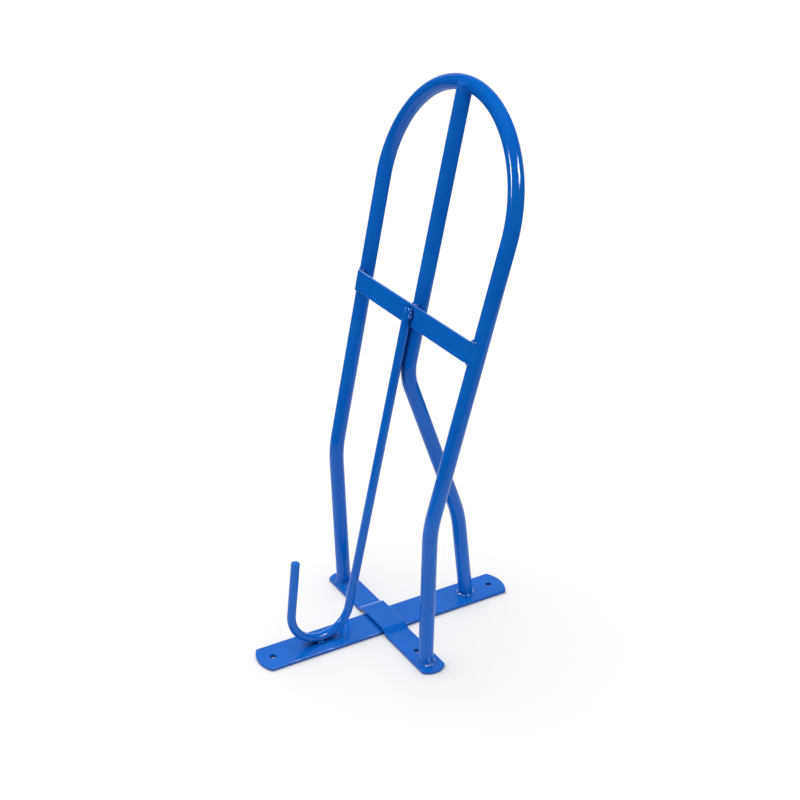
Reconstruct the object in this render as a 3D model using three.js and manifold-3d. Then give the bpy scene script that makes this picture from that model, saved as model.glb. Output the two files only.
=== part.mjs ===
// Wall-mounted saddle rack with a bridle hook, welded from round tube, round rod and flat bar.
//
// It stands on its wall side: the wall is the plane Z = 0 and the rack reaches out along +Z.
// X runs along the short wall bar. Y runs along the long wall bar, whose +Y end is the upper end
// when the rack hangs on a wall. The origin is the point of the wall under the crossing of the bars.
// All lengths are millimetres and all angles are radians.

import * as THREE from "three";
import { mergeVertices } from "three/addons/utils/BufferGeometryUtils.js";
import Module from "manifold-3d";

const wasm = await Module();
wasm.setup();

// ---------------------------------------------------------------- driving dimensions

const gap = 0.3; // clearance between pieces that touch
const tubeRadius = 8;
const tubeWall = 1.5;
const rodRadius = 4.75;
const barThickness = 4;

const longBar = { length: 307, width: 40, endRadius: 34, corner: 1.2, holeSpacing: 274, holeRadius: 3.2 };
const shortBar = { length: 219, width: 28, endRadius: 19, corner: 1, holeSpacing: 138, holeRadius: 3 };
const joggle = { left: 27, right: 21.7, ramp: 6 }; // how far the raised flat reaches, and each ramp's run

const loop = {
  footSpacing: 180,
  y: -1.9,
  footLean: THREE.MathUtils.degToRad(0.57), // the legs' slight lean towards -Y below their bends
  bendDistance: 171,
  bendRadius: 130,
  lean: THREE.MathUtils.degToRad(13.65),
  archDistance: 483.2, // from the wall to the arch centre, measured along the leaning legs
  archRadius: 117,
};
const strap = { distance: 364, height: 22, thickness: 3 };
const spine = {
  footY: 106.4,
  lowBend: { y: 93.7, z: 111, radius: 150 },
  highBend: { y: 27.7, z: 294.7, radius: 58 },
  topSetback: 5, // how far in front of the arch's centre line the spine's centre line passes it
  topShort: 4.5, // how far below the arch's centre line the spine is cut off
};
const hook = {
  bendY: -78.4,
  bendRadius: 35,
  rodLean: THREE.MathUtils.degToRad(12.55),
  rodTopZ: 366.8,
  prongLean: THREE.MathUtils.degToRad(6.2),
  prongTopZ: 111,
};
const weld = {
  radius: 1.2,
  footWidth: 2.6,
  halfWrap: THREE.MathUtils.degToRad(30),
  turnIn: THREE.MathUtils.degToRad(15),
  barLength: 7,
  barShift: 3, // how far the bar welds' middle lies from the bend's lowest point, towards the prong
  rodLength: 13,
  archThickness: 2.2,
};

const tubeSides = 16;
const rodSides = 14;
const beadSides = 8;
const loopSteps = 96;
const spineSteps = 60;
const rodSteps = 72;

// ---------------------------------------------------------------- shared places

const footZ = barThickness + gap;
const acrossX = new THREE.Vector3(1, 0, 0);
const upLeg = new THREE.Vector3(0, -Math.sin(loop.footLean), Math.cos(loop.footLean));
const leanAway = new THREE.Vector3(0, Math.sin(loop.lean), Math.cos(loop.lean));
const leanFront = new THREE.Vector3(0, -Math.cos(loop.lean), Math.sin(loop.lean));

// The legs run straight from their feet to where they touch the arch circle, so their splay follows
// from the foot spacing, the arch distance and the arch radius.
const footX = loop.footSpacing / 2;
const reachToArch = Math.hypot(footX, loop.archDistance);
const splay = Math.asin(loop.archRadius / reachToArch) - Math.atan2(footX, loop.archDistance);

// The distance from the mid plane to a leg's centre line, at a distance out along the leg.
function legX(distance) {
  return footX + distance * Math.tan(splay);
}

// A point of the bent plane that holds the loop's centre line, moved out of it towards the front.
function loopPoint(x, distance, front = 0) {
  const upright = Math.min(distance, loop.bendDistance);
  const leaning = Math.max(distance - loop.bendDistance, 0);
  const point = new THREE.Vector3(x, loop.y, 0).addScaledVector(upLeg, upright);
  return point.addScaledVector(leanAway, leaning).addScaledVector(leanFront, front);
}

// A vector made of two directions, each with its own length.
function mix(first, firstLength, second, secondLength) {
  return first.clone().multiplyScalar(firstLength).addScaledVector(second, secondLength);
}

// ---------------------------------------------------------------- curves

// An arc that starts at centre + from and turns towards travel; both vectors are one radius long.
class SpaceArc extends THREE.Curve {
  constructor(centre, from, travel, angle) {
    super();
    this.centre = centre;
    this.from = from;
    this.travel = travel;
    this.angle = angle;
  }

  getPoint(t, target = new THREE.Vector3()) {
    target.copy(this.centre);
    target.addScaledVector(this.from, Math.cos(t * this.angle));
    return target.addScaledVector(this.travel, Math.sin(t * this.angle));
  }
}

function pathOf(curves) {
  const path = new THREE.CurvePath();
  curves.forEach((curve) => path.add(curve));
  return path;
}

// Straight runs between corners, with a round bend of the given radius at each inner corner.
function bentRuns(corners, radii) {
  const runs = [];
  let start = corners[0];
  radii.forEach((radius, index) => {
    const corner = corners[index + 1];
    const back = corners[index].clone().sub(corner).normalize();
    const onward = corners[index + 2].clone().sub(corner).normalize();
    const halfAngle = back.angleTo(onward) / 2;
    const cutBack = radius / Math.tan(halfAngle);
    const enter = corner.clone().addScaledVector(back, cutBack);
    const inward = back.clone().add(onward).normalize();
    const centre = corner.clone().addScaledVector(inward, radius / Math.sin(halfAngle));
    const from = enter.clone().sub(centre);
    const travel = back.clone().multiplyScalar(-radius);
    runs.push(new THREE.LineCurve3(start, enter));
    runs.push(new SpaceArc(centre, from, travel, Math.PI - 2 * halfAngle));
    start = corner.clone().addScaledVector(onward, cutBack);
  });
  runs.push(new THREE.LineCurve3(start, corners[corners.length - 1]));
  return runs;
}

// ---------------------------------------------------------------- geometry helpers

function sweep(path, radius, sides, steps, wall = 0) {
  const section = new THREE.Shape().absarc(0, 0, radius, 0, 2 * Math.PI);
  if (wall > 0) {
    section.holes.push(new THREE.Path().absarc(0, 0, radius - wall, 0, 2 * Math.PI, true));
  }
  return new THREE.ExtrudeGeometry(section, { extrudePath: path, steps, curveSegments: sides / 2 });
}

function toSolid(geometry) {
  const bare = geometry.clone();
  bare.deleteAttribute("normal");
  bare.deleteAttribute("uv");
  const merged = mergeVertices(bare);
  const vertProperties = new Float32Array(merged.attributes.position.array);
  const triVerts = new Uint32Array(merged.index.array);
  return new wasm.Manifold(new wasm.Mesh({ numProp: 3, vertProperties, triVerts }));
}

function toGeometry(solid) {
  const mesh = solid.getMesh();
  const geometry = new THREE.BufferGeometry();
  geometry.setAttribute("position", new THREE.BufferAttribute(mesh.vertProperties, 3));
  geometry.setIndex(new THREE.BufferAttribute(mesh.triVerts, 1));
  geometry.computeVertexNormals();
  return geometry;
}

// The room below the wall bars' top face, which trims the tubes' feet flat.
function belowFeet() {
  const size = 2 * longBar.length;
  const block = new THREE.BoxGeometry(size, size, size);
  return toSolid(block.translate(0, 0, footZ - size / 2));
}

// ---------------------------------------------------------------- wall bars

// A bar's outline seen square to the wall: straight sides, arched ends and two screw holes.
function barOutline(bar) {
  const halfWidth = bar.width / 2;
  const archCentre = bar.length / 2 - bar.endRadius;
  const cornerX = archCentre + Math.sqrt(bar.endRadius ** 2 - halfWidth ** 2);
  const archAngle = Math.asin(halfWidth / bar.endRadius) - bar.corner / bar.endRadius;
  const outline = new THREE.Shape();
  outline.absarc(archCentre, 0, bar.endRadius, -archAngle, archAngle);
  outline.quadraticCurveTo(cornerX, halfWidth, cornerX - bar.corner, halfWidth);
  outline.lineTo(bar.corner - cornerX, halfWidth);
  const farSide = Math.PI - archAngle;
  const left = new THREE.Vector2(Math.cos(farSide), Math.sin(farSide)).multiplyScalar(bar.endRadius);
  outline.quadraticCurveTo(-cornerX, halfWidth, left.x - archCentre, left.y);
  outline.absarc(-archCentre, 0, bar.endRadius, farSide, Math.PI + archAngle);
  outline.quadraticCurveTo(-cornerX, -halfWidth, bar.corner - cornerX, -halfWidth);
  outline.lineTo(cornerX - bar.corner, -halfWidth);
  outline.quadraticCurveTo(cornerX, -halfWidth, archCentre - left.x, -left.y);
  [-1, 1].forEach((side) => {
    const hole = new THREE.Path();
    hole.absarc((side * bar.holeSpacing) / 2, 0, bar.holeRadius, 0, 2 * Math.PI, true);
    outline.holes.push(hole);
  });
  return outline;
}

function barPrism(bar, height) {
  const options = { depth: height, bevelEnabled: false, curveSegments: 8 };
  return new THREE.ExtrudeGeometry(barOutline(bar), options);
}

function longWallBar() {
  return barPrism(longBar, barThickness).rotateZ(Math.PI / 2);
}

// The short bar seen from its long edge: flat on the wall at both ends, raised over the long bar.
function steppedStrip() {
  const rise = barThickness + gap;
  const bendShift = barThickness * Math.tan(Math.atan2(rise, joggle.ramp) / 2);
  const reach = shortBar.length / 2 + gap;
  const { left, right, ramp } = joggle;
  const side = new THREE.Shape();
  side.moveTo(-reach, 0);
  side.lineTo(bendShift - left - ramp, 0);
  side.lineTo(bendShift - left, rise);
  side.lineTo(right - bendShift, rise);
  side.lineTo(right + ramp - bendShift, 0);
  side.lineTo(reach, 0);
  side.lineTo(reach, barThickness);
  side.lineTo(right + ramp, barThickness);
  side.lineTo(right, barThickness + rise);
  side.lineTo(-left, barThickness + rise);
  side.lineTo(-left - ramp, barThickness);
  side.lineTo(-reach, barThickness);
  side.closePath();
  const strip = new THREE.ExtrudeGeometry(side, { depth: 2 * shortBar.width, bevelEnabled: false });
  return strip.rotateX(Math.PI / 2).translate(0, shortBar.width, 0);
}

function shortWallBar() {
  const plan = barPrism(shortBar, 4 * barThickness).translate(0, 0, -barThickness);
  return toGeometry(toSolid(steppedStrip()).intersect(toSolid(plan)));
}

// ---------------------------------------------------------------- cross strap

// Puts a piece drawn face-on (X across, Y out along the legs, Z to the front) on the legs' front.
function strapPlace() {
  const place = new THREE.Matrix4().makeBasis(acrossX, leanAway, leanFront);
  return place.setPosition(loopPoint(0, strap.distance, tubeRadius + 2 * gap));
}

// The strap ends on the legs' centre lines, so its ends slope with the legs.
function crossStrap() {
  const half = strap.height / 2;
  const low = legX(strap.distance - half);
  const high = legX(strap.distance + half);
  const face = new THREE.Shape();
  face.moveTo(-low, -half);
  face.lineTo(low, -half);
  face.lineTo(high, half);
  face.lineTo(-high, half);
  face.closePath();
  const plate = new THREE.ExtrudeGeometry(face, { depth: strap.thickness, bevelEnabled: false });
  return plate.applyMatrix4(strapPlace());
}

// The strap's own room with the gap round it, for flattening the rod that rests on it.
function strapRoom() {
  const width = 2 * legX(strap.distance);
  const room = new THREE.BoxGeometry(width, strap.height + 2 * gap, strap.thickness + 2 * gap);
  return toSolid(room.translate(0, 0, strap.thickness / 2).applyMatrix4(strapPlace()));
}

// ---------------------------------------------------------------- saddle loop and spine

function loopPath() {
  const touch = loop.archDistance - loop.archRadius * Math.sin(splay);
  const distances = [0, loop.bendDistance, touch];
  const leftCorners = distances.map((distance) => loopPoint(-legX(distance), distance));
  const rightCorners = distances.map((distance) => loopPoint(legX(distance), distance)).reverse();
  const inArch = loop.archRadius * Math.cos(splay);
  const belowArch = loop.archRadius * Math.sin(splay);
  const from = mix(acrossX, -inArch, leanAway, -belowArch);
  const travel = mix(acrossX, -belowArch, leanAway, inArch);
  return pathOf([
    ...bentRuns(leftCorners, [loop.bendRadius]),
    new SpaceArc(loopPoint(0, loop.archDistance), from, travel, Math.PI + 2 * splay),
    ...bentRuns(rightCorners, [loop.bendRadius]),
  ]);
}

function loopTube() {
  const tube = toSolid(sweep(loopPath(), tubeRadius, tubeSides, loopSteps, tubeWall));
  return toGeometry(tube.subtract(belowFeet()));
}

function loopRoom(clearance) {
  return toSolid(sweep(loopPath(), tubeRadius + clearance, tubeSides, loopSteps));
}

// The spine's centre line, ending below the arch's centre line by the given amount.
function spinePath(topShort) {
  const { lowBend, highBend } = spine;
  const high = new THREE.Vector3(0, highBend.y, highBend.z);
  const meeting = loopPoint(0, loop.archDistance + loop.archRadius);
  meeting.y -= spine.topSetback;
  const down = high.clone().sub(meeting).normalize();
  const corners = [
    new THREE.Vector3(0, spine.footY, 0),
    new THREE.Vector3(0, lowBend.y, lowBend.z),
    high,
    meeting.addScaledVector(down, topShort),
  ];
  return pathOf(bentRuns(corners, [lowBend.radius, highBend.radius]));
}

function spineTube() {
  const path = spinePath(spine.topShort);
  const tube = toSolid(sweep(path, tubeRadius, tubeSides, spineSteps, tubeWall));
  return toGeometry(tube.subtract(belowFeet()).subtract(loopRoom(gap)));
}

// ---------------------------------------------------------------- bridle hook

// A straight run that touches the hook's round bend and leans by an angle, up to a height.
function hookRun(side, lean, topZ) {
  const bendZ = footZ + rodRadius + hook.bendRadius;
  const outward = new THREE.Vector3(0, side * Math.cos(lean), -side * Math.sin(lean));
  const touch = new THREE.Vector3(0, hook.bendY, bendZ).addScaledVector(outward, hook.bendRadius);
  const top = new THREE.Vector3(0, touch.y + (topZ - touch.z) * Math.tan(lean), topZ);
  return { outward, touch, top };
}

function hookPath() {
  const rod = hookRun(1, hook.rodLean, hook.rodTopZ);
  const prong = hookRun(-1, hook.prongLean, hook.prongTopZ);
  const centre = rod.touch.clone().addScaledVector(rod.outward, -hook.bendRadius);
  const from = rod.outward.clone().multiplyScalar(hook.bendRadius);
  const travel = rod.touch.clone().sub(rod.top).setLength(hook.bendRadius);
  const turn = Math.PI - hook.rodLean + hook.prongLean;
  return pathOf([
    new THREE.LineCurve3(rod.top, rod.touch),
    new SpaceArc(centre, from, travel, turn),
    new THREE.LineCurve3(prong.touch, prong.top),
  ]);
}

function bridleHookRod() {
  const rod = toSolid(sweep(hookPath(), rodRadius, rodSides, rodSteps));
  return toGeometry(rod.subtract(strapRoom()));
}

// ---------------------------------------------------------------- weld beads

function bead(curve, steps) {
  return sweep(curve, weld.radius, beadSides, steps);
}

// A fillet ring round a tube's foot.
function footWeld(x, y) {
  const inner = tubeRadius + 2 * gap;
  const outer = inner + weld.footWidth;
  const top = footZ + gap / 2 + weld.footWidth;
  const hollow = inner + weld.footWidth / 3;
  const section = new THREE.Path();
  section.moveTo(inner, footZ);
  section.lineTo(outer, footZ);
  section.quadraticCurveTo(hollow, footZ + weld.footWidth / 3, inner, top);
  section.closePath();
  const ring = new THREE.LatheGeometry(section.getPoints(4), 2 * tubeSides);
  return ring.rotateX(Math.PI / 2).translate(x, y, 0);
}

function legFootWeld(side) {
  const foot = loopPoint(side * legX(footZ), footZ);
  return footWeld(foot.x, foot.y);
}

function spineFootWeld() {
  const slope = (spine.footY - spine.lowBend.y) / spine.lowBend.z;
  return footWeld(0, spine.footY - footZ * slope);
}

// A bead across the front of a tube, just past an edge of the strap.
function strapEdgeWeld(x, edge, turn) {
  const pastEdge = strap.height / 2 + gap + weld.radius;
  const reach = tubeRadius + gap + weld.radius;
  const centre = loopPoint(x, strap.distance + edge * pastEdge);
  const start = turn - weld.halfWrap;
  const from = mix(leanFront, reach * Math.cos(start), acrossX, reach * Math.sin(start));
  const travel = mix(acrossX, reach * Math.cos(start), leanFront, -reach * Math.sin(start));
  return bead(new SpaceArc(centre, from, travel, 2 * weld.halfWrap), 8);
}

function strapLegWeld(side, edge) {
  const x = legX(strap.distance + (edge * strap.height) / 2);
  return strapEdgeWeld(side * x, edge, -side * weld.turnIn);
}

// A bead round the rod's end on the strap, like an upside-down U.
function hookStrapWeld() {
  const rod = hookRun(1, hook.rodLean, hook.rodTopZ);
  const face = strap.thickness + gap + weld.radius;
  const halfWidth = rodRadius + gap + weld.radius;
  const toStrap = strapPlace().invert();
  const top = rod.top.clone().applyMatrix4(toStrap).y + gap + weld.radius;
  const corners = [
    new THREE.Vector3(-halfWidth, top - weld.rodLength, face),
    new THREE.Vector3(-halfWidth, top, face),
    new THREE.Vector3(halfWidth, top, face),
    new THREE.Vector3(halfWidth, top - weld.rodLength, face),
  ];
  const path = pathOf(bentRuns(corners, [rodRadius / 2, rodRadius / 2]));
  return bead(path, 24).applyMatrix4(strapPlace());
}

// A short bead on the long bar beside the lowest point of the hook's bend.
function hookBarWeld(side) {
  const z = footZ + weld.radius;
  const reach = rodRadius + gap + weld.radius;
  const x = side * Math.sqrt(reach ** 2 - (rodRadius - weld.radius) ** 2);
  const middle = hook.bendY - weld.barShift;
  const start = new THREE.Vector3(x, middle - weld.barLength / 2, z);
  const end = new THREE.Vector3(x, middle + weld.barLength / 2, z);
  return bead(new THREE.LineCurve3(start, end), 1);
}

// The weld that fills the corner where the spine meets the underside of the arch.
function archWeld() {
  const thick = tubeRadius + gap + weld.archThickness;
  const nearSpine = toSolid(sweep(spinePath(0), thick, tubeSides, spineSteps));
  const spineRoom = toSolid(sweep(spinePath(spine.topShort - gap), tubeRadius + gap, tubeSides, spineSteps));
  const filler = nearSpine.intersect(loopRoom(gap + weld.archThickness));
  return toGeometry(filler.subtract(loopRoom(gap)).subtract(spineRoom));
}

// ---------------------------------------------------------------- assembly

const coatBlue = 0x0f5cb8;
const weldBlue = 0x1f6cc4;

function piece(name, geometry, color, roughness) {
  const material = new THREE.MeshStandardMaterial({ color, roughness, metalness: 0 });
  const mesh = new THREE.Mesh(geometry, material);
  mesh.name = name;
  return mesh;
}

const coated = {
  long_wall_bar: longWallBar(),
  short_wall_bar: shortWallBar(),
  loop_tube: loopTube(),
  spine_tube: spineTube(),
  cross_strap: crossStrap(),
  bridle_hook_rod: bridleHookRod(),
};

const welds = {
  weld_foot_left: legFootWeld(-1),
  weld_foot_right: legFootWeld(1),
  weld_foot_spine: spineFootWeld(),
  weld_strap_left_top: strapLegWeld(-1, 1),
  weld_strap_left_bottom: strapLegWeld(-1, -1),
  weld_strap_right_top: strapLegWeld(1, 1),
  weld_strap_right_bottom: strapLegWeld(1, -1),
  weld_strap_spine: strapEdgeWeld(0, 1, 0),
  weld_hook_strap: hookStrapWeld(),
  weld_hook_bar_left: hookBarWeld(-1),
  weld_hook_bar_right: hookBarWeld(1),
  weld_loop_spine: archWeld(),
};

const rack = new THREE.Group();
rack.name = "saddle_rack";
Object.entries(coated).forEach(([name, shape]) => rack.add(piece(name, shape, coatBlue, 0.3)));
Object.entries(welds).forEach(([name, shape]) => rack.add(piece(name, shape, weldBlue, 0.35)));

export default rack;
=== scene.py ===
"""Looks of a welded saddle rack with a bridle hook, in gloss blue powder coat on a pale floor.

Every CAD node is stood in for by a finer mesh of the same size in the same place. Lengths are metres.
The wall side is the plane Z = 0, the rack reaches out along +Z, and X = 0 is its middle plane.
"""

import math

import bmesh
import bpy
from mathutils import Matrix, Vector, noise


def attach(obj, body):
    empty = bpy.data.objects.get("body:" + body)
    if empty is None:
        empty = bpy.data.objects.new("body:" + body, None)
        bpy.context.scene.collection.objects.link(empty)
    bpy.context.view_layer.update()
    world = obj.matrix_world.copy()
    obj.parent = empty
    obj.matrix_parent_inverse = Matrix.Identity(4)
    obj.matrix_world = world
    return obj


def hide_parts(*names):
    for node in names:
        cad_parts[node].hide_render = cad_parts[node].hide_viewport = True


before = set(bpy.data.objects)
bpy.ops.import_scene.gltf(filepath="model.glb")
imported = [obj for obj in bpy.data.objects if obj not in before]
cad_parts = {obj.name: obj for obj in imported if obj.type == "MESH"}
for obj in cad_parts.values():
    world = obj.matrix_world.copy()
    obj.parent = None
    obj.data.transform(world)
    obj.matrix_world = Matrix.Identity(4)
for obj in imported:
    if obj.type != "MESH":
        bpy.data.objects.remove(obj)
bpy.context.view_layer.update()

# ---------------------------------------------------------------- named sizes

MM = 0.001
TUBE_R = 7.94 * MM
ROD_R = 4.73 * MM
BAR_T = 4.0 * MM
SKIN = 0.02 * MM  # keeps a fine mesh just inside the box of the piece it stands for
MERGED = 0.002 * MM  # points nearer than this become one
TUBE_SIDES = 64
ROD_SIDES = 48
RIM_HIGHLIGHT_AND_WEAR = 0.3 * MM  # how far the lightened band of a sharp rim, a painted highlight with some wear, spreads along a tube

LOOP_FOOT_X = 90 * MM
LOOP_Y = -1.9 * MM
LOOP_FOOT_LEAN = math.radians(0.57)
LOOP_BEND_AT = 171 * MM
LOOP_BEND_R = 130 * MM
LOOP_LEAN = math.radians(13.65)
ARCH_AT = 483.2 * MM
ARCH_R = 117 * MM

STRAP_AT = 364 * MM
STRAP_H = 22 * MM
STRAP_T = 3 * MM
STRAP_EDGE = 0.6 * MM
STRAP_GAP = 0.65 * MM  # between the tubes and the strap's back
STRAP_BLEND = 9 * MM  # over which the strap thins out into the right leg
STRAP_CUTS = 12
STRAP_THINNED = 0.75  # the share of its thickness that the strap loses there
STRAP_SUNK = 1.55 * MM  # how far that thin end sinks into the leg

SPINE_FOOT_Y = 106.4 * MM
SPINE_BENDS = [(93.7 * MM, 111 * MM, 150 * MM), (27.7 * MM, 294.7 * MM, 58 * MM)]  # Y, Z and radius
SPINE_SETBACK = 5 * MM  # how far in front of the arch's crown it aims
SPINE_SHORT = 4.5 * MM  # the least by which its end stays below that point

HOOK_Y = -78.4 * MM
HOOK_R = 35 * MM
HOOK_LEAN = math.radians(12.55)
HOOK_TOP_Z = 366.8 * MM
PRONG_LEAN = math.radians(6.2)
PRONG_TOP_Z = 111 * MM
TOP_RIM = 1 * MM  # the rounding of the rod's two ends
TIP_RIM = 2 * MM

# end_r is the radius of a bar's arched ends, corner how far the rounding of a corner reaches, and
# holes the distance between the screw holes
LONG_BAR = {
    "length": 307 * MM,
    "width": 40 * MM,
    "end_r": 34 * MM,
    "corner": 1.2 * MM,
    "holes": 274 * MM,
    "hole_r": 3.2 * MM,
}
SHORT_BAR = {
    "length": 219 * MM,
    "width": 28 * MM,
    "end_r": 19 * MM,
    "corner": 1 * MM,
    "holes": 138 * MM,
    "hole_r": 3 * MM,
}
BAR_EDGE = 0.8 * MM
STEP_LEFT = 27 * MM  # from the middle to where the raised part of the short bar starts to fall
STEP_RIGHT = 21.7 * MM
STEP_RAMP = 6 * MM
STEP_RISE = 4.3 * MM
STEP_EASE = 1.5 * MM  # how far the step's soft bends reach past its ramps
STEP_CUTS = 30  # fine cuts across each ramp

# a foot weld's width, how many ripples go round it, and the shares by which ripples and lumps swell it
FOOT_WELD = {"width": 2.1 * MM, "ripples": 15, "ripple": 0.16, "lump": 0.9, "lump_scale": 2.5}
FOOT_WELD_INTO = 0.4 * MM  # how far the foot welds reach into the tube
FOOT_WELD_SUNK = 0.1 * MM  # and into the bar

# a bead's radius, the spacing of its ripples, how much it swells, and by how much more at its last end
STRAP_BEAD = {"radius": 1.2 * MM, "pitch": 2.1 * MM, "lump": 0.6, "drop": 0}
SPINE_BEAD = {"radius": 0.9 * MM, "pitch": 2.4 * MM, "lump": 0.4, "drop": 0}
ROD_BEAD = {"radius": 1.9 * MM, "pitch": 2.6 * MM, "lump": 0.3, "drop": 0.3}
HOOK_BEAD = {"radius": 1.6 * MM, "pitch": 2.8 * MM, "lump": 0.5, "drop": 0}
BEAD_STEP = 0.25 * MM  # between the rings of a bead
BEAD_TIP = 0.12  # the share of its radius that a bead's end has
BEAD_RIPPLE = 0.5  # how much its ripples and its slow drift count in its swelling
BEAD_DRIFT = 0.9
BEAD_DRIFT_PITCHES = 3
BEAD_RISE = 0.2  # how far its middle may wander up and to the side, in radii
BEAD_SWAY = 0.25
DROP_AT = 1.5  # radii from the last end to a drop's middle

EDGE_BEAD_PAST = 0.5 * MM  # from the strap's edge to the middle of a bead along it
EDGE_BEAD_OUT = 0.6 * MM  # from the tube's skin to the middle of the bead
STRAP_BEAD_TURN = math.radians(15)  # how far the legs' beads are turned to the inside
STRAP_BEAD_HALF = math.radians(28)  # half the angle that they reach round the tube
SPINE_BEAD_TURN = math.radians(6)
SPINE_BEAD_HALF = math.radians(30)
ROD_BEAD_OUT = 2.7 * MM  # in front of the strap
ROD_BEAD_UP = 0.7 * MM
ROD_BEAD_ASIDE = 0.1 * MM
ROD_BEAD_RUN = 9 * MM  # how far it runs down each side of the rod
ROD_BEAD_BEND = 0.6 * ROD_R
HOOK_BEAD_X = 4.4 * MM
HOOK_BEAD_UP = 0.7 * MM
HOOK_BEAD_FRONT = 6.5 * MM  # how far it reaches in front of the hook's lowest point
HOOK_BEAD_BACK = 0.5 * MM

# the short ends of spine and arch that the weld between them is melted from
STUB_DOWN = (22 * MM, 14 * MM)  # of the spine's two lower rings, below where it meets the arch
STUB_PAST = 4 * MM  # how far its top ring passes that point at the back
STUB_SLOPE = 4 * MM  # and how much less at the front
STUB_HALF = math.radians(9)  # half the angle of the arch's end
STUB_VOXEL = 0.4 * MM
STUB_MELTS = 110

X_AXIS = Vector((1, 0, 0))
UP_LEG = Vector((0, -math.sin(LOOP_FOOT_LEAN), math.cos(LOOP_FOOT_LEAN)))
AWAY = Vector((0, math.sin(LOOP_LEAN), math.cos(LOOP_LEAN)))
FRONT = Vector((0, -math.cos(LOOP_LEAN), math.sin(LOOP_LEAN)))
TO_ARCH = math.hypot(LOOP_FOOT_X, ARCH_AT)
SPLAY = math.asin(ARCH_R / TO_ARCH) - math.atan2(LOOP_FOOT_X, ARCH_AT)


def leg_x(distance):
    return LOOP_FOOT_X + distance * math.tan(SPLAY)


def loop_point(x, distance, front=0.0):
    """A point of the bent plane of the loop's centre line, moved out of it towards the front."""
    upright = min(distance, LOOP_BEND_AT)
    leaning = max(distance - LOOP_BEND_AT, 0)
    return Vector((x, LOOP_Y, 0)) + UP_LEG * upright + AWAY * leaning + FRONT * front


# ---------------------------------------------------------------- paths


def arc_points(centre, start, turn_to, angle, step=math.radians(2.5)):
    """Points on an arc from centre + start, turning towards turn_to, both one radius long."""
    count = max(2, math.ceil(angle / step))
    angles = [angle * i / count for i in range(count + 1)]
    return [centre + start * math.cos(a) + turn_to * math.sin(a) for a in angles]


def straight_points(start, end, step=6 * MM):
    count = max(1, math.ceil((end - start).length / step))
    return [start.lerp(end, i / count) for i in range(count + 1)]


def bent_points(corners, radii):
    """Straight runs between corners, with a round bend at each inner corner."""
    points = []
    start = corners[0]
    for index, radius in enumerate(radii):
        corner = corners[index + 1]
        back = (corners[index] - corner).normalized()
        onward = (corners[index + 2] - corner).normalized()
        half = back.angle(onward) / 2
        enter = corner + back * (radius / math.tan(half))
        centre = corner + (back + onward).normalized() * (radius / math.sin(half))
        points += straight_points(start, enter)[:-1]
        points += arc_points(centre, enter - centre, back * -radius, math.pi - 2 * half)[:-1]
        start = corner + onward * (radius / math.tan(half))
    return points + straight_points(start, corners[-1])


def loop_points():
    touch = ARCH_AT - ARCH_R * math.sin(SPLAY)
    stations = [BAR_T, LOOP_BEND_AT, touch]
    left = [loop_point(-leg_x(s), s) for s in stations]
    right = [loop_point(leg_x(s), s) for s in reversed(stations)]
    inside = ARCH_R * math.cos(SPLAY)
    below = ARCH_R * math.sin(SPLAY)
    start = X_AXIS * -inside - AWAY * below
    turn_to = X_AXIS * -below + AWAY * inside
    arch = arc_points(loop_point(0, ARCH_AT), start, turn_to, math.pi + 2 * SPLAY)
    return bent_points(left, [LOOP_BEND_R])[:-1] + arch + bent_points(right, [LOOP_BEND_R])[1:]


def arch_crown():
    return loop_point(0, ARCH_AT + ARCH_R)


def spine_meeting():
    return arch_crown() - Vector((0, SPINE_SETBACK, 0))


def spine_top_direction():
    return (spine_meeting() - Vector((0, *SPINE_BENDS[1][:2]))).normalized()


def spine_front():
    """Square to the spine's top, away from the wall side of the rack."""
    return X_AXIS.cross(spine_top_direction())


def spine_points():
    foot = Vector((0, SPINE_FOOT_Y, 0))
    bends = [Vector((0, y, z)) for y, z, _ in SPINE_BENDS]
    foot = foot.lerp(bends[0], BAR_T / bends[0].z)
    top = spine_meeting() - spine_top_direction() * SPINE_SHORT
    return bent_points([foot, *bends, top], [radius for _, _, radius in SPINE_BENDS])


def hook_run(side, lean, top_z):
    """Where a straight run leaves the hook's bend, the way out from the bend, and the run's end."""
    out = Vector((0, side * math.cos(lean), -side * math.sin(lean)))
    touch = Vector((0, HOOK_Y, BAR_T + ROD_R + HOOK_R)) + out * HOOK_R
    end = touch + Vector((0, math.sin(lean), math.cos(lean))) * ((top_z - touch.z) / math.cos(lean))
    return touch, out, end


def hook_points():
    touch, out, top = hook_run(1, HOOK_LEAN, HOOK_TOP_Z)
    prong_touch, _, tip = hook_run(-1, PRONG_LEAN, PRONG_TOP_Z)
    down = (touch - top).normalized()
    turn = math.pi - HOOK_LEAN + PRONG_LEAN
    bend = arc_points(touch - out * HOOK_R, out * HOOK_R, down * HOOK_R, turn)
    return straight_points(top, touch)[:-1] + bend + straight_points(prong_touch, tip)[1:]


# ---------------------------------------------------------------- mesh helpers


def tangents(points):
    last = len(points) - 1
    return [(points[min(i + 1, last)] - points[max(i - 1, 0)]).normalized() for i in range(last + 1)]


def carried_frames(points):
    """A side and an up direction at each point, carried along the path without twisting."""
    ways = tangents(points)
    side = ways[0].orthogonal().normalized()
    nearly_along_x = abs(ways[0].x) >= 0.9
    if not nearly_along_x:
        side = (X_AXIS - ways[0] * ways[0].x).normalized()
    frames = []
    previous = ways[0]
    for way in ways:
        side = previous.rotation_difference(way) @ side
        side = (side - way * side.dot(way)).normalized()
        frames.append((side, way.cross(side)))
        previous = way
    return frames


def circle_ring(centre, side, up, radius, sides):
    turns = [2 * math.pi * k / sides for k in range(sides)]
    return [centre + side * (radius * math.cos(a)) + up * (radius * math.sin(a)) for a in turns]


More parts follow.
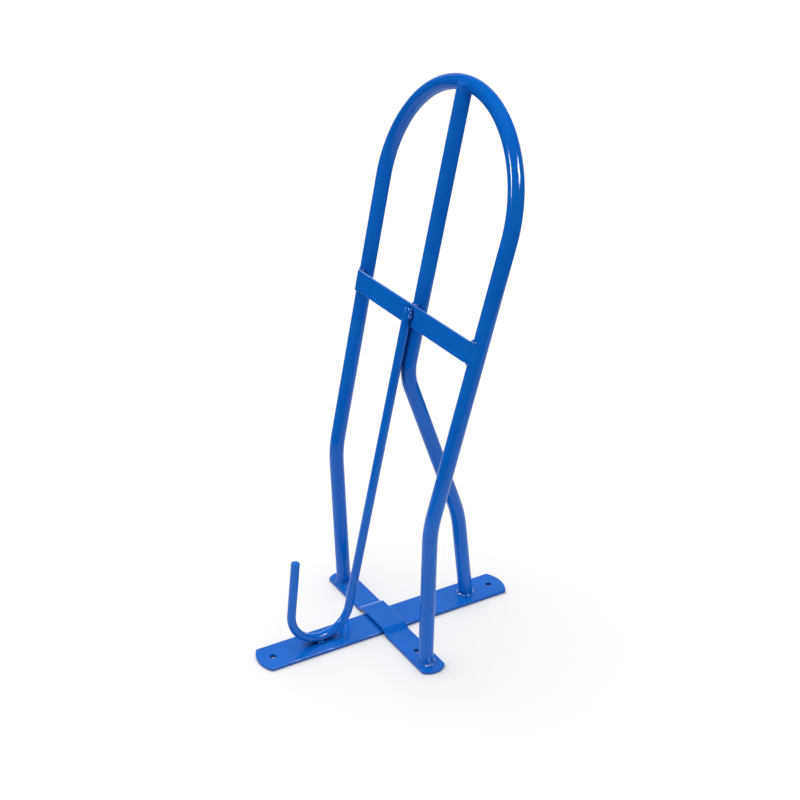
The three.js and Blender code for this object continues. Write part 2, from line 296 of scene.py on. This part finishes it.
def loft(bm, rings, closed=False):
    """Skins rings of equally many points; the ends are capped unless the rings close on themselves."""
    grid = [[bm.verts.new(p) for p in ring] for ring in rings]
    pairs = list(zip(grid, grid[1:]))
    if closed:
        pairs.append((grid[-1], grid[0]))
    for first, second in pairs:
        for k in range(len(first)):
            n = (k + 1) % len(first)
            bm.faces.new((first[k], first[n], second[n], second[k]))
    if not closed:
        for ring in (grid[0], grid[-1]):
            middle = bm.verts.new(sum((v.co for v in ring), Vector()) / len(ring))
            for k in range(len(ring)):
                bm.faces.new((ring[k], ring[(k + 1) % len(ring)], middle))
    return grid


def mesh_object(name, bm, material, node, smooth_angle=40):
    """Turns bm into the piece that stands for a CAD node, smooth except at angles past smooth_angle."""
    bmesh.ops.recalc_face_normals(bm, faces=bm.faces)
    mesh = bpy.data.meshes.new(name)
    bm.to_mesh(mesh)
    bm.free()
    mesh.shade_smooth()
    mesh.set_sharp_from_angle(angle=math.radians(smooth_angle))
    piece = bpy.data.objects.new(name, mesh)
    bpy.context.scene.collection.objects.link(piece)
    mesh.materials.append(material)
    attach(piece, "root")
    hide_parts(node)
    return piece


def evaluated_bmesh(name, data, add_modifiers=None):
    """The mesh that a curve gives, or a mesh with modifiers, as a new bmesh."""
    holder = bpy.data.objects.new(name, data)
    bpy.context.scene.collection.objects.link(holder)
    if add_modifiers:
        add_modifiers(holder)
    bpy.context.view_layer.update()
    mesh = bpy.data.meshes.new_from_object(holder.evaluated_get(bpy.context.evaluated_depsgraph_get()))
    bpy.data.objects.remove(holder)
    bm = bmesh.new()
    bm.from_mesh(mesh)
    bpy.data.meshes.remove(mesh)
    return bm


def tube_rings(points, radius, sides):
    frames = carried_frames(points)
    return [circle_ring(p, s, u, radius, sides) for p, (s, u) in zip(points, frames)]


def rounded_end(end, outward, side_and_up, radius, rim, sides, steps=5):
    """Rings that round off the rim of a rod's flat end, from the outside ring to the flat face."""
    rings = []
    for i in range(steps + 1):
        a = math.pi / 2 * i / steps
        centre = end - outward * (rim * (1 - math.sin(a)))
        rings.append(circle_ring(centre, *side_and_up, radius - rim * (1 - math.cos(a)), sides))
    return rings


def cut_at_height(ring, way, height):
    """Slides a ring's points along the tube until they lie at one height."""
    return [p + way * ((height - p.z) / way.z) for p in ring]


def foot_rings(ring, way):
    """A tube's end on a bar, and a ring close above it."""
    return [cut_at_height(ring, way, BAR_T), cut_at_height(ring, way, BAR_T + RIM_HIGHLIGHT_AND_WEAR)]


# ---------------------------------------------------------------- materials


def node_of(tree, kind, **settings):
    node = tree.nodes.new(kind)
    for key, value in settings.items():
        setattr(node, key, value)
    return node


def noise_at(tree, coords, scale, detail):
    texture = node_of(tree, "ShaderNodeTexNoise")
    texture.inputs["Scale"].default_value = scale
    texture.inputs["Detail"].default_value = detail
    tree.links.new(coords, texture.inputs["Vector"])
    return texture.outputs["Fac"]


def ramped(tree, value, low, high, to_low, to_high):
    """The value between low and high, spread over to_low to to_high."""
    remap = node_of(tree, "ShaderNodeMapRange")
    for key, number in (("From Min", low), ("From Max", high), ("To Min", to_low), ("To Max", to_high)):
        remap.inputs[key].default_value = number
    tree.links.new(value, remap.inputs["Value"])
    return remap.outputs["Result"]


# how many cells each noise has in a metre
DRIFT_SCALE = 14
WAVE_SCALE = 55
PEEL_SCALE = 420
FLECK_SCALE = 900

FLECK_TINT = (0.86, 0.9, 0.95)
FLECK_AMOUNT = 0.5
# sharp edges turned light blue: a painted highlight along rims, with some wear
EDGE_HIGHLIGHT_AND_WEAR_BLUE = (0.3, 0.5, 0.9)
EDGE_HIGHLIGHT_AND_WEAR_AMOUNT = 0.7
# painted shade: the coat darkened where another surface is near, as in crevices and between parts
PAINTED_SHADE_TINT = (0.5, 0.3, 0.4)
PAINTED_SHADE_REACH = 8 * MM  # how near another surface must be for the painted shade to darken the coat
PAINTED_SHADE_SAMPLES = 8


def tinted(tree, colour, tint, amount, blend="MIX"):
    """A plain colour or a colour output, turned to a tint or multiplied by it, by a varying amount."""
    mix = node_of(tree, "ShaderNodeMix", data_type="RGBA", blend_type=blend)
    mix.inputs["B"].default_value = (*tint, 1)
    tree.links.new(amount, mix.inputs["Factor"])
    if isinstance(colour, tuple):
        mix.inputs["A"].default_value = (*colour, 1)
    else:
        tree.links.new(colour, mix.inputs["A"])
    return mix.outputs["Result"]


def bumped(tree, height, strength, distance, normal=None):
    bump = node_of(tree, "ShaderNodeBump")
    bump.inputs["Strength"].default_value = strength
    bump.inputs["Distance"].default_value = distance
    tree.links.new(height, bump.inputs["Height"])
    if normal:
        tree.links.new(normal, bump.inputs["Normal"])
    return bump.outputs["Normal"]


def powder_coat(name, base, deep, peel_depth, rough_low, rough_high, gloss):
    """Gloss powder coat: colour drift, orange peel, soft waves, edges lightened by a painted highlight with
    some wear, and painted shade darkening its crevices.
    """
    material = bpy.data.materials.new(name)
    material.use_nodes = True
    tree = material.node_tree
    shader = tree.nodes["Principled BSDF"]
    coords = node_of(tree, "ShaderNodeTexCoord").outputs["Object"]
    drift = noise_at(tree, coords, DRIFT_SCALE, 3)
    fleck = noise_at(tree, coords, FLECK_SCALE, 2)
    peel = noise_at(tree, coords, PEEL_SCALE, 2)
    wave = noise_at(tree, coords, WAVE_SCALE, 2)
    edge = node_of(tree, "ShaderNodeNewGeometry").outputs["Pointiness"]
    painted_shade_ao = node_of(tree, "ShaderNodeAmbientOcclusion", samples=PAINTED_SHADE_SAMPLES)
    painted_shade_ao.inputs["Distance"].default_value = PAINTED_SHADE_REACH

    flecked = ramped(tree, fleck, 0.55, 0.75, 0, FLECK_AMOUNT)
    # lightened edges: painted highlight, with some wear
    edge_highlight_and_wear = ramped(tree, edge, 0.55, 0.6, 0, EDGE_HIGHLIGHT_AND_WEAR_AMOUNT)
    # darkened crevices: painted shade
    painted_shade = ramped(tree, painted_shade_ao.outputs["AO"], 0.25, 0.9, 1, 0)
    colour = tinted(tree, deep, base, ramped(tree, drift, 0.35, 0.65, 0, 1))
    colour = tinted(tree, colour, FLECK_TINT, flecked, "MULTIPLY")
    # edges: painted highlight and wear
    colour = tinted(tree, colour, EDGE_HIGHLIGHT_AND_WEAR_BLUE, edge_highlight_and_wear)
    # crevices: painted shade
    colour = tinted(tree, colour, PAINTED_SHADE_TINT, painted_shade, "MULTIPLY")
    tree.links.new(colour, shader.inputs["Base Color"])

    tree.links.new(ramped(tree, wave, 0.3, 0.7, rough_low, rough_high), shader.inputs["Roughness"])
    shader.inputs["IOR"].default_value = 1.5
    shader.inputs["Specular IOR Level"].default_value = gloss
    shader.inputs["Coat Weight"].default_value = 0.4 * gloss
    shader.inputs["Coat Roughness"].default_value = 0.06

    waves = bumped(tree, wave, 0.25, peel_depth * 3)
    tree.links.new(bumped(tree, peel, 0.35, peel_depth, waves), shader.inputs["Normal"])
    return material


COAT = powder_coat(
    "blue_coat",
    base=(0.004, 0.141, 0.6),
    deep=(0.003, 0.124, 0.545),
    peel_depth=0.05 * MM,
    rough_low=0.07,
    rough_high=0.12,
    gloss=0.25,
)
# The welds' coat is glossier, and its lighter base is a painted highlight that brightens the welds.
WELD_COAT = powder_coat(
    "blue_weld_coat",
    base=(0.004, 0.17, 0.68),
    deep=(0.003, 0.14, 0.6),
    peel_depth=0.08 * MM,
    rough_low=0.05,
    rough_high=0.08,
    gloss=0.7,
)
# The arch weld's coat: matt, with a darker base that is painted shade, offsetting the light on the weld's
# upward-facing slope.
DARKENED_BLEND_COAT = powder_coat(
    "blue_blend_coat_painted_shade",
    base=(0.004, 0.128, 0.57),
    deep=(0.003, 0.114, 0.52),
    peel_depth=0.05 * MM,
    rough_low=0.3,
    rough_high=0.4,
    gloss=0.03,
)

# ---------------------------------------------------------------- tubes and rod


def make_loop():
    points = loop_points()
    rings = tube_rings(points, TUBE_R, TUBE_SIDES)
    ways = tangents(points)
    first = foot_rings(rings[0], ways[0])
    last = foot_rings(rings[-1], ways[-1])[::-1]
    rings = first + rings[1:-1] + last
    bm = bmesh.new()
    loft(bm, rings)
    mesh_object("loop_coated", bm, COAT, "loop_tube")


def corner_below_arch(angle):
    """How far below the arch's centre line, along the spine, the spine's side at an angle meets it."""
    forward = SPINE_SETBACK * math.cos(LOOP_LEAN) + TUBE_R * math.cos(angle)
    sideways = TUBE_R * math.sin(angle)
    drop = ARCH_R - math.sqrt(ARCH_R**2 - sideways**2)
    return math.sqrt(max(0, TUBE_R**2 - forward**2)) + drop


def make_spine():
    points = spine_points()
    rings = tube_rings(points, TUBE_R, TUBE_SIDES)
    ways = tangents(points)
    way = spine_top_direction()
    front = spine_front()
    meeting = spine_meeting()
    end = []
    for p in rings[-1]:
        out = p - points[-1]
        angle = math.atan2(out.x, out.dot(front))
        end.append(meeting + out - way * max(corner_below_arch(angle), SPINE_SHORT))
    shoulder = [p - way * RIM_HIGHLIGHT_AND_WEAR for p in end]
    rings = foot_rings(rings[0], ways[0]) + rings[1:-1] + [shoulder, end]
    bm = bmesh.new()
    loft(bm, rings)
    mesh_object("spine_coated", bm, COAT, "spine_tube")


def make_hook():
    points = hook_points()
    ways = tangents(points)
    frames = carried_frames(points)
    top = rounded_end(points[0], -ways[0], frames[0], ROD_R, TOP_RIM, ROD_SIDES)
    tip = rounded_end(points[-1], ways[-1], frames[-1], ROD_R, TIP_RIM, ROD_SIDES)
    body = [circle_ring(p, s, u, ROD_R, ROD_SIDES) for p, (s, u) in zip(points[1:-1], frames[1:-1])]
    bm = bmesh.new()
    loft(bm, top[::-1] + body + tip)
    mesh_object("hook_coated", bm, COAT, "bridle_hook_rod")


# ---------------------------------------------------------------- flat bars


def bar_outline(bar, segments=28, corner_segments=6):
    """The bar's outline seen square to the wall, anticlockwise, with X along the bar."""
    half_width = bar["width"] / 2
    corner = bar["corner"]
    centre = bar["length"] / 2 - bar["end_r"]
    corner_x = centre + math.sqrt(bar["end_r"] ** 2 - half_width**2)
    arch = math.asin(half_width / bar["end_r"]) - corner / bar["end_r"]
    quarter = []
    for i in range(segments + 1):
        a = -arch + 2 * arch * i / segments
        quarter.append(Vector((centre + bar["end_r"] * math.cos(a), bar["end_r"] * math.sin(a))))
    side = Vector((corner_x - corner, half_width))
    tip = Vector((corner_x, half_width))
    for i in range(1, corner_segments + 1):
        t = i / corner_segments
        quarter.append(quarter[segments].lerp(tip, t).lerp(tip.lerp(side, t), t))
    lower = [Vector((p.x, -p.y)) for p in quarter[segments + 1 :]][::-1]
    right = lower + quarter
    return right + [Vector((-p.x, -p.y)) for p in right]


def plate_mesh(outlines, thickness, edge):
    """A flat plate with holes whose edges are all rounded, lying on Z = 0."""
    curve = bpy.data.curves.new("plate", "CURVE")
    curve.dimensions = "2D"
    curve.fill_mode = "BOTH"
    curve.extrude = thickness / 2 - edge
    curve.bevel_depth = edge
    curve.bevel_resolution = 3
    curve.offset = -edge
    for outline in outlines:
        spline = curve.splines.new("POLY")
        spline.points.add(len(outline) - 1)
        for point, place in zip(spline.points, outline):
            point.co = (place.x, place.y, 0, 1)
        spline.use_cyclic_u = True
    bm = evaluated_bmesh("plate", curve)
    bpy.data.curves.remove(curve)
    bmesh.ops.remove_doubles(bm, verts=bm.verts, dist=MERGED)
    bmesh.ops.translate(bm, verts=bm.verts, vec=(0, 0, thickness / 2))
    return bm


def hole_outline(x, radius, sides=40):
    turns = [-2 * math.pi * k / sides for k in range(sides)]
    return [Vector((x + radius * math.cos(a), radius * math.sin(a))) for a in turns]


def sharpen_lower_rims(bm, bar):
    """Makes the screw holes' lower rims sharp, as drilled."""
    for side in (-1, 1):
        middle = Vector((side * bar["holes"] / 2, 0))
        for vert in bm.verts:
            out = vert.co.xy - middle
            if vert.co.z < BAR_EDGE and out.length < bar["hole_r"] + 2 * BAR_EDGE:
                vert.co.xy = middle + out.normalized() * bar["hole_r"]


def bar_mesh(bar):
    outlines = [bar_outline(bar)]
    for side in (-1, 1):
        outlines.append(hole_outline(side * bar["holes"] / 2, bar["hole_r"]))
    bm = plate_mesh(outlines, BAR_T, BAR_EDGE)
    sharpen_lower_rims(bm, bar)
    return bm


def keep_flats(piece):
    """Keeps wide flat faces flat in shading beside small rounded edges."""
    modifier = piece.modifiers.new("weighted", "WEIGHTED_NORMAL")
    modifier.keep_sharp = True
    modifier.weight = 100


def make_long_bar():
    bm = bar_mesh(LONG_BAR)
    bmesh.ops.rotate(bm, verts=bm.verts, matrix=Matrix.Rotation(math.pi / 2, 3, "Z"))
    keep_flats(mesh_object("long_bar_coated", bm, COAT, "long_wall_bar", 60))


def smooth_step(x, start, end):
    t = min(1, max(0, (x - start) / (end - start)))
    return t * t * (3 - 2 * t)


def step_height(x):
    """How far the short bar is raised, at a distance along it."""
    left = smooth_step(x, -STEP_LEFT - STEP_RAMP - STEP_EASE, -STEP_LEFT + STEP_EASE)
    right = smooth_step(-x, -STEP_RIGHT - STEP_RAMP - STEP_EASE, -STEP_RIGHT + STEP_EASE)
    return STEP_RISE * min(left, right)


def cut_across(bm, x):
    """Adds a line of points across a plate, so that it can bend there."""
    everything = bm.verts[:] + bm.edges[:] + bm.faces[:]
    bmesh.ops.bisect_plane(bm, geom=everything, plane_co=(x, 0, 0), plane_no=(1, 0, 0))


def make_short_bar():
    bm = bar_mesh(SHORT_BAR)
    reach = 2 * STEP_EASE
    for side, top in ((-1, STEP_LEFT), (1, STEP_RIGHT)):
        inner = side * (top - reach)
        outer = side * (top + STEP_RAMP + reach)
        for i in range(STEP_CUTS + 1):
            cut_across(bm, min(inner, outer) + abs(outer - inner) * i / STEP_CUTS)
    for vert in bm.verts:
        vert.co.z += step_height(vert.co.x)
    keep_flats(mesh_object("short_bar_coated", bm, COAT, "short_wall_bar", 60))


def make_strap():
    half = STRAP_H / 2
    low = leg_x(STRAP_AT - half) - SKIN
    high = leg_x(STRAP_AT + half) - SKIN
    corners = [(-low, -half), (low, -half), (high, half), (-high, half)]
    bm = plate_mesh([[Vector(c) for c in corners]], STRAP_T, STRAP_EDGE)
    for i in range(1, STRAP_CUTS + 1):
        cut_across(bm, high - STRAP_BLEND * i / STRAP_CUTS)
    for vert in bm.verts:
        blend = smooth_step(vert.co.x, low - STRAP_BLEND, high)
        vert.co.z = vert.co.z * (1 - STRAP_THINNED * blend) - STRAP_SUNK * blend
    place = Matrix((X_AXIS, AWAY, FRONT)).transposed().to_4x4()
    place.translation = loop_point(0, STRAP_AT, TUBE_R + STRAP_GAP)
    bmesh.ops.transform(bm, matrix=place, verts=bm.verts)
    keep_flats(mesh_object("strap_coated", bm, COAT, "cross_strap", 60))


# ---------------------------------------------------------------- weld beads


def bead_rings(points, seed, radius, pitch, lump, drop, sides=20):
    """Rings of a bead whose thickness ripples along it, with a thicker drop near its last end."""
    frames = carried_frames(points)
    lengths = [0.0]
    for first, second in zip(points, points[1:]):
        lengths.append(lengths[-1] + (second - first).length)
    total = lengths[-1]
    rings = []
    for point, (side, up), along in zip(points, frames, lengths):
        from_end = min(along, total - along)
        rounded = math.sqrt(max(0.0, 1 - (1 - min(1, from_end / radius)) ** 2))
        wave = math.sin(2 * math.pi * along / pitch)
        drift = noise.noise(Vector((along / (BEAD_DRIFT_PITCHES * pitch), seed, 0)))
        sway = noise.noise(Vector((seed, along / pitch, 1)))
        thick = radius * (BEAD_TIP + (1 - BEAD_TIP) * rounded)
        thick *= 1 + lump * (BEAD_RIPPLE * wave + BEAD_DRIFT * drift)
        thick *= 1 + drop * math.exp(-(((total - along) / radius - DROP_AT) ** 2))
        wander = up * (BEAD_RISE * radius * drift) + side * (BEAD_SWAY * radius * sway)
        rings.append(circle_ring(point + wander, side, up, thick, sides))
    return rings


def resampled(points, step):
    """The same path with points an even, small step apart."""
    result = [points[0]]
    for first, second in zip(points, points[1:]):
        count = max(1, round((second - first).length / step))
        result += [first.lerp(second, i / count) for i in range(1, count + 1)]
    return result


def make_bead(node, points, seed, bead):
    bm = bmesh.new()
    loft(bm, bead_rings(resampled(points, BEAD_STEP), seed, **bead))
    mesh_object(node + "_coated", bm, WELD_COAT, node, 180)


def make_foot_weld(node, x, y, way, seed, around=200, steps=8):
    """A rippled, hollow fillet ring round a tube's foot, following the tube's slope."""
    rings = []
    inner = TUBE_R - FOOT_WELD_INTO
    for k in range(around):
        angle = 2 * math.pi * k / around
        out = Vector((math.cos(angle), math.sin(angle), 0))
        ripple = FOOT_WELD["ripple"] * math.sin(angle * FOOT_WELD["ripples"] + seed)
        drift = FOOT_WELD["lump"] * noise.noise(out * FOOT_WELD["lump_scale"] + Vector((seed, 0, 0)))
        reach = FOOT_WELD["width"] * (1 + ripple + drift)
        profile = [(inner, -FOOT_WELD_SUNK)]
        for i in range(steps + 1):
            a = math.pi / 2 * i / steps
            profile.append((TUBE_R + reach * (1 - math.sin(a)), reach * (1 - math.cos(a))))
        profile.append((inner, reach))
        centre = Vector((x, y, BAR_T))
        rings.append([centre + way * (h / way.z) + out * r for r, h in profile])
    bm = bmesh.new()
    loft(bm, rings, closed=True)
    mesh_object(node + "_coated", bm, WELD_COAT, node, 180)


def edge_weld_points(x, edge, turn, half_wrap):
    """Across the front of the tube at x, along the strap's top edge (1) or bottom edge (-1)."""
    past = STRAP_H / 2 + EDGE_BEAD_PAST
    reach = TUBE_R + EDGE_BEAD_OUT
    centre = loop_point(x, STRAP_AT + edge * past)
    start = turn - half_wrap
    first = FRONT * (reach * math.cos(start)) + X_AXIS * (reach * math.sin(start))
    turn_to = X_AXIS * (reach * math.cos(start)) - FRONT * (reach * math.sin(start))
    return arc_points(centre, first, turn_to, 2 * half_wrap)


def rod_weld_points():
    """Round the rod's end on the strap, like an upside-down U, in rack coordinates."""
    _, _, top = hook_run(1, HOOK_LEAN, HOOK_TOP_Z)
    front = TUBE_R + STRAP_T + ROD_BEAD_OUT
    above = (top - loop_point(0, STRAP_AT)).dot(AWAY) + ROD_BEAD_UP
    below = above - ROD_BEAD_RUN
    half = ROD_R + ROD_BEAD_ASIDE
    corners = [(-half, below), (-half, above), (half, above), (half, below)]
    points = [loop_point(0, STRAP_AT, front) + X_AXIS * across + AWAY * up for across, up in corners]
    return bent_points(points, [ROD_BEAD_BEND, ROD_BEAD_BEND])


def spine_stub(radius):
    """The top of the spine, ending in a slope that leads over the front of the arch."""
    meeting = spine_meeting()
    way = spine_top_direction()
    front = spine_front()
    rings = [circle_ring(meeting - way * down, X_AXIS, front, radius, TUBE_SIDES) for down in STUB_DOWN]
    top = []
    for p in circle_ring(meeting, X_AXIS, front, radius, TUBE_SIDES):
        ahead = max(0, (p - meeting).dot(front) / radius)
        top.append(p + way * (STUB_PAST - STUB_SLOPE * ahead))
    return rings + [top]


def arch_stub(radius):
    """A short length of the arch to either side of its crown."""
    start = AWAY * (ARCH_R * math.cos(STUB_HALF)) - X_AXIS * (ARCH_R * math.sin(STUB_HALF))
    turn_to = AWAY * (ARCH_R * math.sin(STUB_HALF)) + X_AXIS * (ARCH_R * math.cos(STUB_HALF))
    return tube_rings(arc_points(loop_point(0, ARCH_AT), start, turn_to, 2 * STUB_HALF), radius, TUBE_SIDES)


def add_melting(holder):
    """Joins overlapping bodies into one skin and smooths it, which fills the corners between them."""
    remesh = holder.modifiers.new("remesh", "REMESH")
    remesh.mode = "VOXEL"
    remesh.voxel_size = STUB_VOXEL
    melt = holder.modifiers.new("melt", "SMOOTH")
    melt.factor = 0.5
    melt.iterations = STUB_MELTS


def make_arch_weld():
    """The two tubes' skins melted together, so that only the fillet between them stands out."""
    bm = bmesh.new()
    loft(bm, spine_stub(TUBE_R + SKIN))
    loft(bm, arch_stub(TUBE_R + SKIN))
    bmesh.ops.recalc_face_normals(bm, faces=bm.faces)
    rough = bpy.data.meshes.new("arch_weld_rough")
    bm.to_mesh(rough)
    bm.free()
    bm = evaluated_bmesh("arch_weld_rough", rough, add_melting)
    bpy.data.meshes.remove(rough)
    mesh_object("weld_loop_spine_coated", bm, DARKENED_BLEND_COAT, "weld_loop_spine", 180)


def make_welds():
    """All the welds; their seeds keep two of a kind from looking alike."""
    leg_way = loop_point(leg_x(LOOP_BEND_AT), LOOP_BEND_AT) - loop_point(leg_x(BAR_T), BAR_T)
    for side, node in ((-1, "weld_foot_left"), (1, "weld_foot_right")):
        way = Vector((side * leg_way.x, leg_way.y, leg_way.z)).normalized()
        make_foot_weld(node, side * leg_x(BAR_T), loop_point(0, BAR_T).y, way, 3 + side)
    foot = spine_points()
    make_foot_weld("weld_foot_spine", 0, foot[0].y, (foot[1] - foot[0]).normalized(), 7)
    for side, name in ((-1, "left"), (1, "right")):
        for edge, part in ((1, "top"), (-1, "bottom")):
            x = side * leg_x(STRAP_AT + edge * STRAP_H / 2)
            points = edge_weld_points(x, edge, -side * STRAP_BEAD_TURN, STRAP_BEAD_HALF)
            make_bead(f"weld_strap_{name}_{part}", points, 11 + 3 * side + edge, STRAP_BEAD)
    points = edge_weld_points(0, 1, SPINE_BEAD_TURN, SPINE_BEAD_HALF)
    make_bead("weld_strap_spine", points, 21, SPINE_BEAD)
    make_bead("weld_hook_strap", rod_weld_points(), 5, ROD_BEAD)
    for side, name in ((-1, "left"), (1, "right")):
        start = Vector((side * HOOK_BEAD_X, HOOK_Y - HOOK_BEAD_FRONT, BAR_T + HOOK_BEAD_UP))
        end = Vector((side * HOOK_BEAD_X, HOOK_Y + HOOK_BEAD_BACK, BAR_T + HOOK_BEAD_UP))
        make_bead(f"weld_hook_bar_{name}", [start, end], 31 + side, HOOK_BEAD)
    make_arch_weld()


make_loop()
make_spine()
make_hook()
make_long_bar()
make_short_bar()
make_strap()
make_welds()

# ---------------------------------------------------------------- floor, light and camera


FLOOR_R = 12
FLOOR_SIDES = 96
FLOOR_ROUGHNESS = (0.75, 0.85)
GRAIN_SCALE = 300
SEEN_FLOOR = (0.885, 0.883, 0.876)
SEEN_DEPTH = 0.05 * MM
# inner and outer radius, and grey
BOUNCE_RINGS = {"near": (0, 0.5, 0.78), "middle": (0.5, 0.85, 0.5), "far": (0.85, FLOOR_R, 0.42)}
BOUNCE_DEPTH = 0.5 * MM

SKY_POWER = 1.43
SKY_SPREAD = math.radians(70)
SKY_TILT = (math.radians(5), math.radians(-20), 0)
ROOM_LIGHT = 0.76
BACKDROP_LIGHT = 1
ARCH_SIDE = (0.11, 0.08, 0.52)  # the stretch of the arch that the two small boxes shine on

CAMERA_PLACE = (1.2209, -0.6985, 0.9684)
CAMERA_AZIMUTH = math.radians(59.53)
CAMERA_ELEVATION = math.radians(26.31)
FOCAL_IN_WIDTHS = 1.91375
SENSOR_WIDTH = 36  # millimetres


def floor_material(name, colour):
    material = bpy.data.materials.new(name)
    material.use_nodes = True
    tree = material.node_tree
    shader = tree.nodes["Principled BSDF"]
    coords = node_of(tree, "ShaderNodeTexCoord").outputs["Object"]
    grain = noise_at(tree, coords, GRAIN_SCALE, 2)
    tree.links.new(ramped(tree, grain, 0.3, 0.7, *FLOOR_ROUGHNESS), shader.inputs["Roughness"])
    shader.inputs["Base Color"].default_value = (*colour, 1)
    shader.inputs["Specular IOR Level"].default_value = 0.1
    return material


def ring_of_floor(name, inner, outer, depth, material):
    """A flat ring, or a disc where inner is 0, a little under the wall plane."""
    bm = bmesh.new()
    bmesh.ops.create_circle(bm, cap_ends=inner == 0, radius=outer, segments=FLOOR_SIDES)
    if inner > 0:
        bmesh.ops.create_circle(bm, radius=inner, segments=FLOOR_SIDES)
        bmesh.ops.bridge_loops(bm, edges=bm.edges)
    bmesh.ops.recalc_face_normals(bm, faces=bm.faces)
    mesh = bpy.data.meshes.new(name)
    bm.to_mesh(mesh)
    bm.free()
    mesh.materials.append(material)
    floor = bpy.data.objects.new(name, mesh)
    floor.location.z = -depth
    bpy.context.scene.collection.objects.link(floor)
    return floor


def make_floor():
    """The pale floor the camera sees, and greyer rings in its place that light and tint the rack."""
    pale = floor_material("pale_floor", SEEN_FLOOR)
    seen = ring_of_floor("seen_floor", 0, FLOOR_R, SEEN_DEPTH, pale)
    seen.visible_diffuse = False
    seen.visible_glossy = False
    seen.visible_shadow = False
    for name, (inner, outer, grey) in BOUNCE_RINGS.items():
        colour = floor_material(f"{name}_bounce", (grey, grey, grey))
        ring = ring_of_floor(f"{name}_bounce_floor", inner, outer, BOUNCE_DEPTH, colour)
        ring.visible_camera = False
        ring.visible_glossy = name != "far"


def softbox(name, place, aim, width, height, power):
    """A soft box that shows in the gloss and lights nothing else."""
    light = bpy.data.lights.new(name, "AREA")
    light.shape = "RECTANGLE"
    light.size = width
    light.size_y = height
    light.energy = power
    lamp = bpy.data.objects.new(name, light)
    bpy.context.scene.collection.objects.link(lamp)
    lamp.location = place
    lamp.rotation_euler = (Vector(aim) - Vector(place)).to_track_quat("-Z", "Y").to_euler()
    lamp.visible_diffuse = False


def sky_light():
    """A broad, soft light from above that reaches the whole floor alike and doesn't show in the gloss."""
    light = bpy.data.lights.new("overhead", "SUN")
    light.angle = SKY_SPREAD
    light.energy = SKY_POWER
    lamp = bpy.data.objects.new("overhead", light)
    bpy.context.scene.collection.objects.link(lamp)
    lamp.rotation_euler = SKY_TILT
    lamp.visible_glossy = False


def make_world():
    """Even light from all round, with a white backdrop where the camera sees past the floor."""
    world = bpy.data.worlds.new("studio")
    bpy.context.scene.world = world
    world.use_nodes = True
    tree = world.node_tree
    background = tree.nodes["Background"]
    background.inputs["Color"].default_value = (1, 1, 1, 1)
    seen = node_of(tree, "ShaderNodeLightPath").outputs["Is Camera Ray"]
    tree.links.new(ramped(tree, seen, 0, 1, ROOM_LIGHT, BACKDROP_LIGHT), background.inputs["Strength"])
    world.cycles_visibility.glossy = False


def make_camera():
    camera = bpy.data.cameras.new("camera")
    camera.sensor_width = SENSOR_WIDTH
    camera.lens = SENSOR_WIDTH * FOCAL_IN_WIDTHS
    holder = bpy.data.objects.new("camera", camera)
    bpy.context.scene.collection.objects.link(holder)
    holder.location = CAMERA_PLACE
    holder.rotation_euler = (math.pi / 2 - CAMERA_ELEVATION, 0, CAMERA_AZIMUTH)
    bpy.context.scene.camera = holder


make_floor()
make_world()
sky_light()
softbox("backdrop", (-2.2, 1.4, 1.2), aim=(0, 0, 0.4), width=3.6, height=1.6, power=9)
softbox("skyline", (-2.2, 1.6, 0.33), aim=(0, 0, 0.1), width=5.0, height=0.6, power=18)
softbox("left_box", (-0.42, -1.75, 1.2), aim=ARCH_SIDE, width=0.36, height=0.5, power=26)
softbox("right_box", (1.62, 0.8, 1.78), aim=ARCH_SIDE, width=0.85, height=0.75, power=85)
make_camera()
bpy.context.scene.view_settings.view_transform = "Standard"
